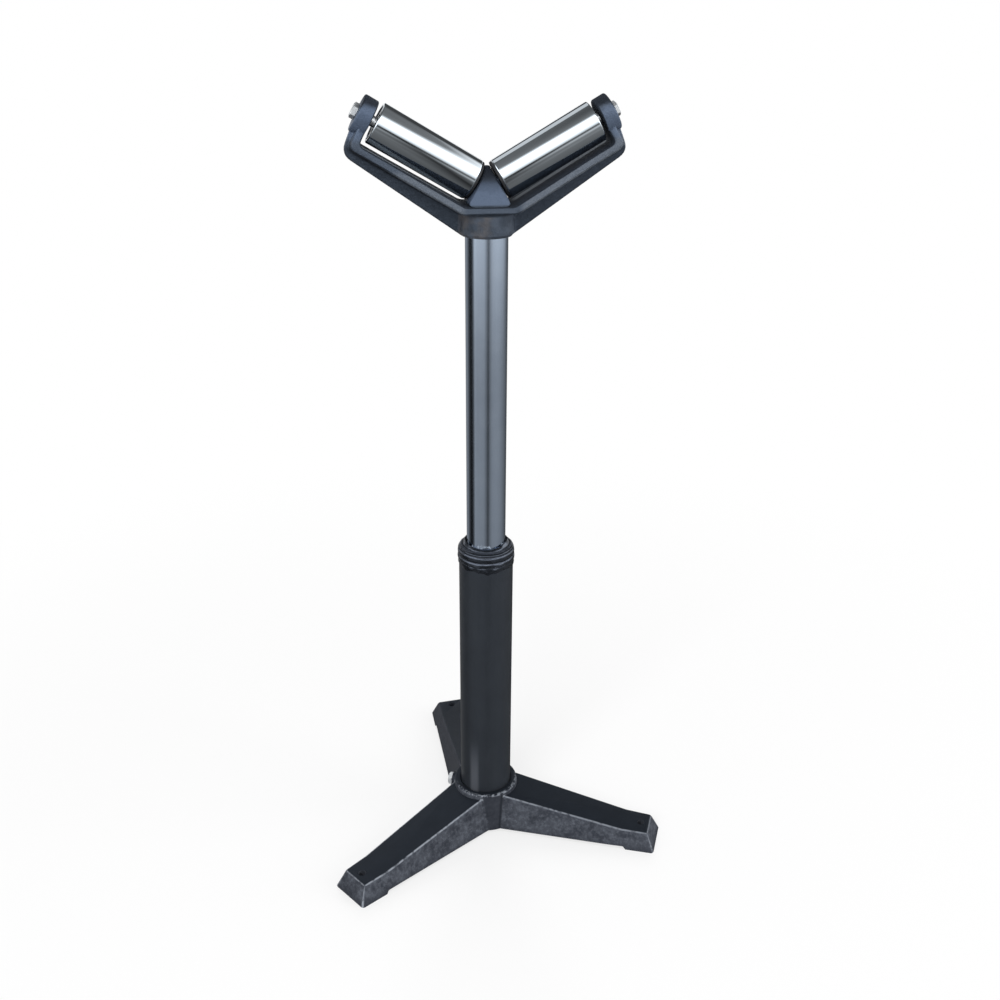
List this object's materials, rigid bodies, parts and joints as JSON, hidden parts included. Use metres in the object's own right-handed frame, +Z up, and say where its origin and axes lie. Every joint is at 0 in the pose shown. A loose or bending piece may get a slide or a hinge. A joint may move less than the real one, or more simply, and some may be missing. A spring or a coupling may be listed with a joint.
{
  "type": "v roller stand",
  "caption": "Floor stand for pipe and round bar: cast tripod base, steel column with a locking sliding mast, and a swivelling yoke that holds free running chromed rollers in a V.",
  "frame": {"origin": "middle of the footprint's box on the floor; the column's axis stands 54.6 mm in front of it", "axes": "+Z up along the column; +Y along the back leg, away from the viewer; +X to the viewer's right"},
  "size_m": [0.4962, 0.4308, 1.0599],
  "materials": {
    "cast_iron": "dark rough-cast iron with a thin dark coat",
    "painted_casting": "satin black paint on a casting",
    "black_paint": "satin black paint",
    "black_gloss": "gloss black",
    "nylon": "plain off-white nylon",
    "zinc_plate": "bright zinc plate",
    "bronze": "plain bronze",
    "black_plastic": "moulded black",
    "chrome": "polished chrome plate",
    "bearing_steel": "ground steel",
    "bearing_seal": "black seal"
  },
  "bodies": {
    "base": {"base_casting": "cast_iron", "hub_set_bolt": "zinc_plate", "column_tube": "black_paint", "column_collar": "black_gloss", "guide_bush": "nylon", "lock_boss": "black_paint"},
    "lock_pad": {"lock_pad": "bronze"},
    "lock_screw": {"lock_screw": "zinc_plate", "lock_lever": "black_plastic", "lever_cap": "zinc_plate"},
    "mast": {"mast_tube": "zinc_plate", "mast_guide_ring": "nylon"},
    "yoke": {"yoke_casting": "painted_casting", "yoke_set_bolt": "zinc_plate", "left_axle_bolt": "zinc_plate", "left_outboard_spacer": "zinc_plate", "left_inboard_spacer": "zinc_plate", "left_bearing_spacer_tube": "bearing_steel", "left_inboard_bearing_inner_ring": "bearing_steel", "left_outboard_bearing_inner_ring": "bearing_steel", "right_axle_bolt": "zinc_plate", "right_outboard_spacer": "zinc_plate", "right_inboard_spacer": "zinc_plate", "right_bearing_spacer_tube": "bearing_steel", "right_inboard_bearing_inner_ring": "bearing_steel", "right_outboard_bearing_inner_ring": "bearing_steel"},
    "left_roller": {"left_roller_shell": "chrome", "left_inboard_roller_hub": "bearing_steel", "left_inboard_bearing_outer_ring": "bearing_steel", "left_inboard_bearing_ball_set": "bearing_steel", "left_inboard_bearing_shield": "bearing_seal", "left_outboard_roller_hub": "bearing_steel", "left_outboard_bearing_outer_ring": "bearing_steel", "left_outboard_bearing_ball_set": "bearing_steel", "left_outboard_bearing_shield": "bearing_seal"},
    "right_roller": {"right_roller_shell": "chrome", "right_inboard_roller_hub": "bearing_steel", "right_inboard_bearing_outer_ring": "bearing_steel", "right_inboard_bearing_ball_set": "bearing_steel", "right_inboard_bearing_shield": "bearing_seal", "right_outboard_roller_hub": "bearing_steel", "right_outboard_bearing_outer_ring": "bearing_steel", "right_outboard_bearing_ball_set": "bearing_steel", "right_outboard_bearing_shield": "bearing_seal"}
  },
  "joints": [
    {"name": "lock_pad_slide", "type": "slide", "parent": "base", "child": "lock_pad", "axis": [0, 1, 0], "range_m": [0, 0.0009]},
    {"name": "lock_turn", "type": "hinge", "parent": "lock_pad", "child": "lock_screw", "pos_m": [0, -0.005, 0.43], "axis": [0, 1, 0], "range_deg": [0, 180]},
    {"name": "mast_slide", "type": "slide", "parent": "base", "child": "mast", "axis": [0, 0, 1], "range_m": [-0.375, 0.018]},
    {"name": "head_swivel", "type": "hinge", "parent": "mast", "child": "yoke", "pos_m": [0, -0.05461, 0.91], "axis": [0, 0, 1], "continuous": true},
    {"name": "left_roller_spin", "type": "hinge", "parent": "yoke", "child": "left_roller", "pos_m": [0, -0.05461, 0.9525], "axis": [-0.8613, 0.0905, 0.5], "continuous": true},
    {"name": "right_roller_spin", "type": "hinge", "parent": "yoke", "child": "right_roller", "pos_m": [0, -0.05461, 0.9525], "axis": [0.8613, -0.0905, 0.5], "continuous": true}
  ],
  "couplings": [
    {"joint": "lock_pad_slide", "follows": "lock_turn", "m_per_rad": 0.00027852}
  ]
}
